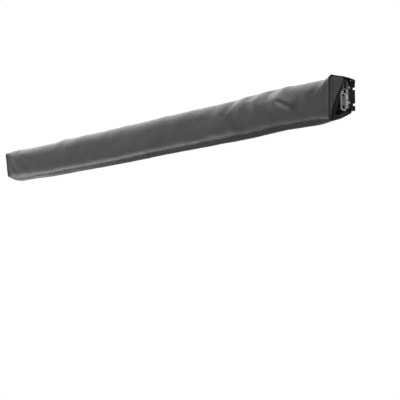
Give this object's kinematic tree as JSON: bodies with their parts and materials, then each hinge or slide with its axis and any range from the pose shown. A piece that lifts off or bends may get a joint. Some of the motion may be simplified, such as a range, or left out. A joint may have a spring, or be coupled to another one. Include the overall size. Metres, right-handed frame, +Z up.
{
  "type": "vehicle side awning",
  "caption": "Pull-out side awning stowed in its zipped cover on a slotted backing rail, with a rolled canopy, folding spreader arms and telescopic legs.",
  "frame": {"origin": "centre of the backing rail's rear face, the face that is bolted to the roof rack", "axes": "+X along the rail to the open end of the cover, -Y away from the vehicle, +Z up"},
  "size_m": [2.1968, 0.1558, 0.1743],
  "materials": {
    "rail_anodised": "black anodised, satin",
    "plate_coat": "black powder coat",
    "zinc_plate": "zinc plated",
    "tube_aluminium": "satin anodised",
    "cast_aluminium": "tumbled casting",
    "fastener_steel": "bright stainless",
    "fastener_black": "black oxide",
    "black_nylon": "moulded, fine grain",
    "foot_rubber": "matte",
    "canopy_cloth": "ripstop, coated, matte",
    "cover_cloth": "PVC coated, soft sheen"
  },
  "bodies": {
    "base": {"backing_rail": "rail_anodised", "zip_tape": "cover_cloth", "zip_chain": "black_nylon", "end_plate_near": "plate_coat", "end_plate_far": "plate_coat", "end_plate_screw_lower_near": "fastener_steel", "end_plate_screw_lower_far": "fastener_steel", "end_plate_screw_upper_near": "fastener_steel", "end_plate_screw_upper_far": "fastener_steel", "arm_bracket_near": "zinc_plate", "arm_bracket_far": "zinc_plate", "bracket_rivet_lower_near": "fastener_steel", "bracket_rivet_lower_far": "fastener_steel", "bracket_rivet_upper_near": "fastener_steel", "bracket_rivet_upper_far": "fastener_steel", "arm_pivot_bolt_near": "fastener_steel", "arm_pivot_bolt_far": "fastener_steel", "arm_pivot_nut_near": "fastener_steel", "arm_pivot_nut_far": "fastener_steel"},
    "cover": {"cover_skin": "cover_cloth", "cover_end_panel": "cover_cloth", "cover_end_flap": "cover_cloth"},
    "front_rail_body": {"front_rail": "tube_aluminium", "canopy": "canopy_cloth", "front_rail_cap_near": "cast_aluminium", "front_rail_cap_far": "cast_aluminium", "cap_screw_near": "fastener_steel", "cap_screw_far": "fastener_steel", "cap_bolt_near": "fastener_black", "cap_bolt_far": "fastener_black", "arm_stud_near": "fastener_steel", "arm_stud_far": "fastener_steel", "leg_pivot_pin_near": "fastener_steel", "leg_pivot_pin_far": "fastener_steel"},
    "slider": {"zip_slider": "fastener_steel"},
    "pull": {"zip_pull": "fastener_steel"},
    "arm_near": {"arm_knuckle_near": "black_nylon", "arm_outer_tube_near": "tube_aluminium", "arm_collar_near": "black_nylon"},
    "arm_slide_near": {"arm_inner_tube_near": "tube_aluminium", "arm_tip_eye_near": "black_nylon"},
    "knob_near": {"arm_knob_near": "black_nylon"},
    "leg_near": {"leg_knuckle_near": "black_nylon", "leg_outer_tube_near": "tube_aluminium"},
    "leg_slide_near": {"leg_inner_tube_near": "tube_aluminium", "leg_foot_near": "foot_rubber"},
    "leg_collar_near": {"leg_twist_collar_near": "black_nylon"},
    "arm_far": {"arm_knuckle_far": "black_nylon", "arm_outer_tube_far": "tube_aluminium", "arm_collar_far": "black_nylon"},
    "arm_slide_far": {"arm_inner_tube_far": "tube_aluminium", "arm_tip_eye_far": "black_nylon"},
    "knob_far": {"arm_knob_far": "black_nylon"},
    "leg_far": {"leg_knuckle_far": "black_nylon", "leg_outer_tube_far": "tube_aluminium"},
    "leg_slide_far": {"leg_inner_tube_far": "tube_aluminium", "leg_foot_far": "foot_rubber"},
    "leg_collar_far": {"leg_twist_collar_far": "black_nylon"}
  },
  "joints": [
    {"name": "awning_pull_out", "type": "slide", "parent": "base", "child": "front_rail_body", "axis": [0, -1, 0], "range_m": [0, 1.731], "deforming": ["canopy", "cover_skin", "cover_end_panel", "cover_end_flap"]},
    {"name": "cover_fold", "type": "hinge", "parent": "base", "child": "cover", "pos_m": [0, -0.03, -0.0565], "axis": [1, 0, 0], "range_deg": [0, 70]},
    {"name": "near_arm_swing", "type": "hinge", "parent": "base", "child": "arm_near", "pos_m": [1.0695, -0.056, 0.034], "axis": [0, 0, 1], "range_deg": [0, 90]},
    {"name": "near_arm_extend", "type": "slide", "parent": "arm_near", "child": "arm_slide_near", "axis": [-1, 0, 0], "range_m": [0, 0.8]},
    {"name": "near_knob_turn", "type": "hinge", "parent": "arm_near", "child": "knob_near", "pos_m": [0.1685, -0.078, 0.034], "axis": [0, -1, 0], "range_deg": [0, 360]},
    {"name": "near_leg_fold", "type": "hinge", "parent": "front_rail_body", "child": "leg_near", "pos_m": [1.054, -0.07, -0.045], "axis": [0, -1, 0], "range_deg": [0, 90]},
    {"name": "near_leg_extend", "type": "slide", "parent": "leg_near", "child": "leg_slide_near", "axis": [-1, 0, 0], "range_m": [0, 0.78]},
    {"name": "near_leg_lock_twist", "type": "hinge", "parent": "leg_near", "child": "leg_collar_near", "pos_m": [0.165, -0.07, -0.045], "axis": [-1, 0, 0], "range_deg": [0, 90]},
    {"name": "far_arm_swing", "type": "hinge", "parent": "base", "child": "arm_far", "pos_m": [-1.0695, -0.056, 0.034], "axis": [0, 0, -1], "range_deg": [0, 90]},
    {"name": "far_arm_extend", "type": "slide", "parent": "arm_far", "child": "arm_slide_far", "axis": [1, 0, 0], "range_m": [0, 0.8]},
    {"name": "far_knob_turn", "type": "hinge", "parent": "arm_far", "child": "knob_far", "pos_m": [-0.1685, -0.078, 0.034], "axis": [0, -1, 0], "range_deg": [0, 360]},
    {"name": "far_leg_fold", "type": "hinge", "parent": "front_rail_body", "child": "leg_far", "pos_m": [-1.054, -0.07, -0.045], "axis": [0, 1, 0], "range_deg": [0, 90]},
    {"name": "far_leg_extend", "type": "slide", "parent": "leg_far", "child": "leg_slide_far", "axis": [1, 0, 0], "range_m": [0, 0.78]},
    {"name": "far_leg_lock_twist", "type": "hinge", "parent": "leg_far", "child": "leg_collar_far", "pos_m": [-0.165, -0.07, -0.045], "axis": [1, 0, 0], "range_deg": [0, 90]},
    {"name": "zip_slide", "type": "slide", "parent": "base", "child": "slider", "axis": [-1, 0, 0], "range_m": [0, 2.05]},
    {"name": "zip_pull_flip", "type": "hinge", "parent": "slider", "child": "pull", "pos_m": [1.028, -0.0254, 0.0649], "axis": [0, 1, 0], "range_deg": [0, 180]}
  ],
  "couplings": [
    {"joint": "cover_fold", "follows": "awning_pull_out", "rad_per_m": 0.7056},
    {"joint": "near_arm_swing", "follows": "awning_pull_out", "rad_per_m": 0.9074},
    {"joint": "near_arm_extend", "follows": "awning_pull_out", "ratio": 0.4621},
    {"joint": "near_leg_fold", "follows": "awning_pull_out", "rad_per_m": 0.9074},
    {"joint": "near_leg_extend", "follows": "awning_pull_out", "ratio": 0.4506},
    {"joint": "far_arm_swing", "follows": "awning_pull_out", "rad_per_m": 0.9074},
    {"joint": "far_arm_extend", "follows": "awning_pull_out", "ratio": 0.4621},
    {"joint": "far_leg_fold", "follows": "awning_pull_out", "rad_per_m": 0.9074},
    {"joint": "far_leg_extend", "follows": "awning_pull_out", "ratio": 0.4506}
  ]
}
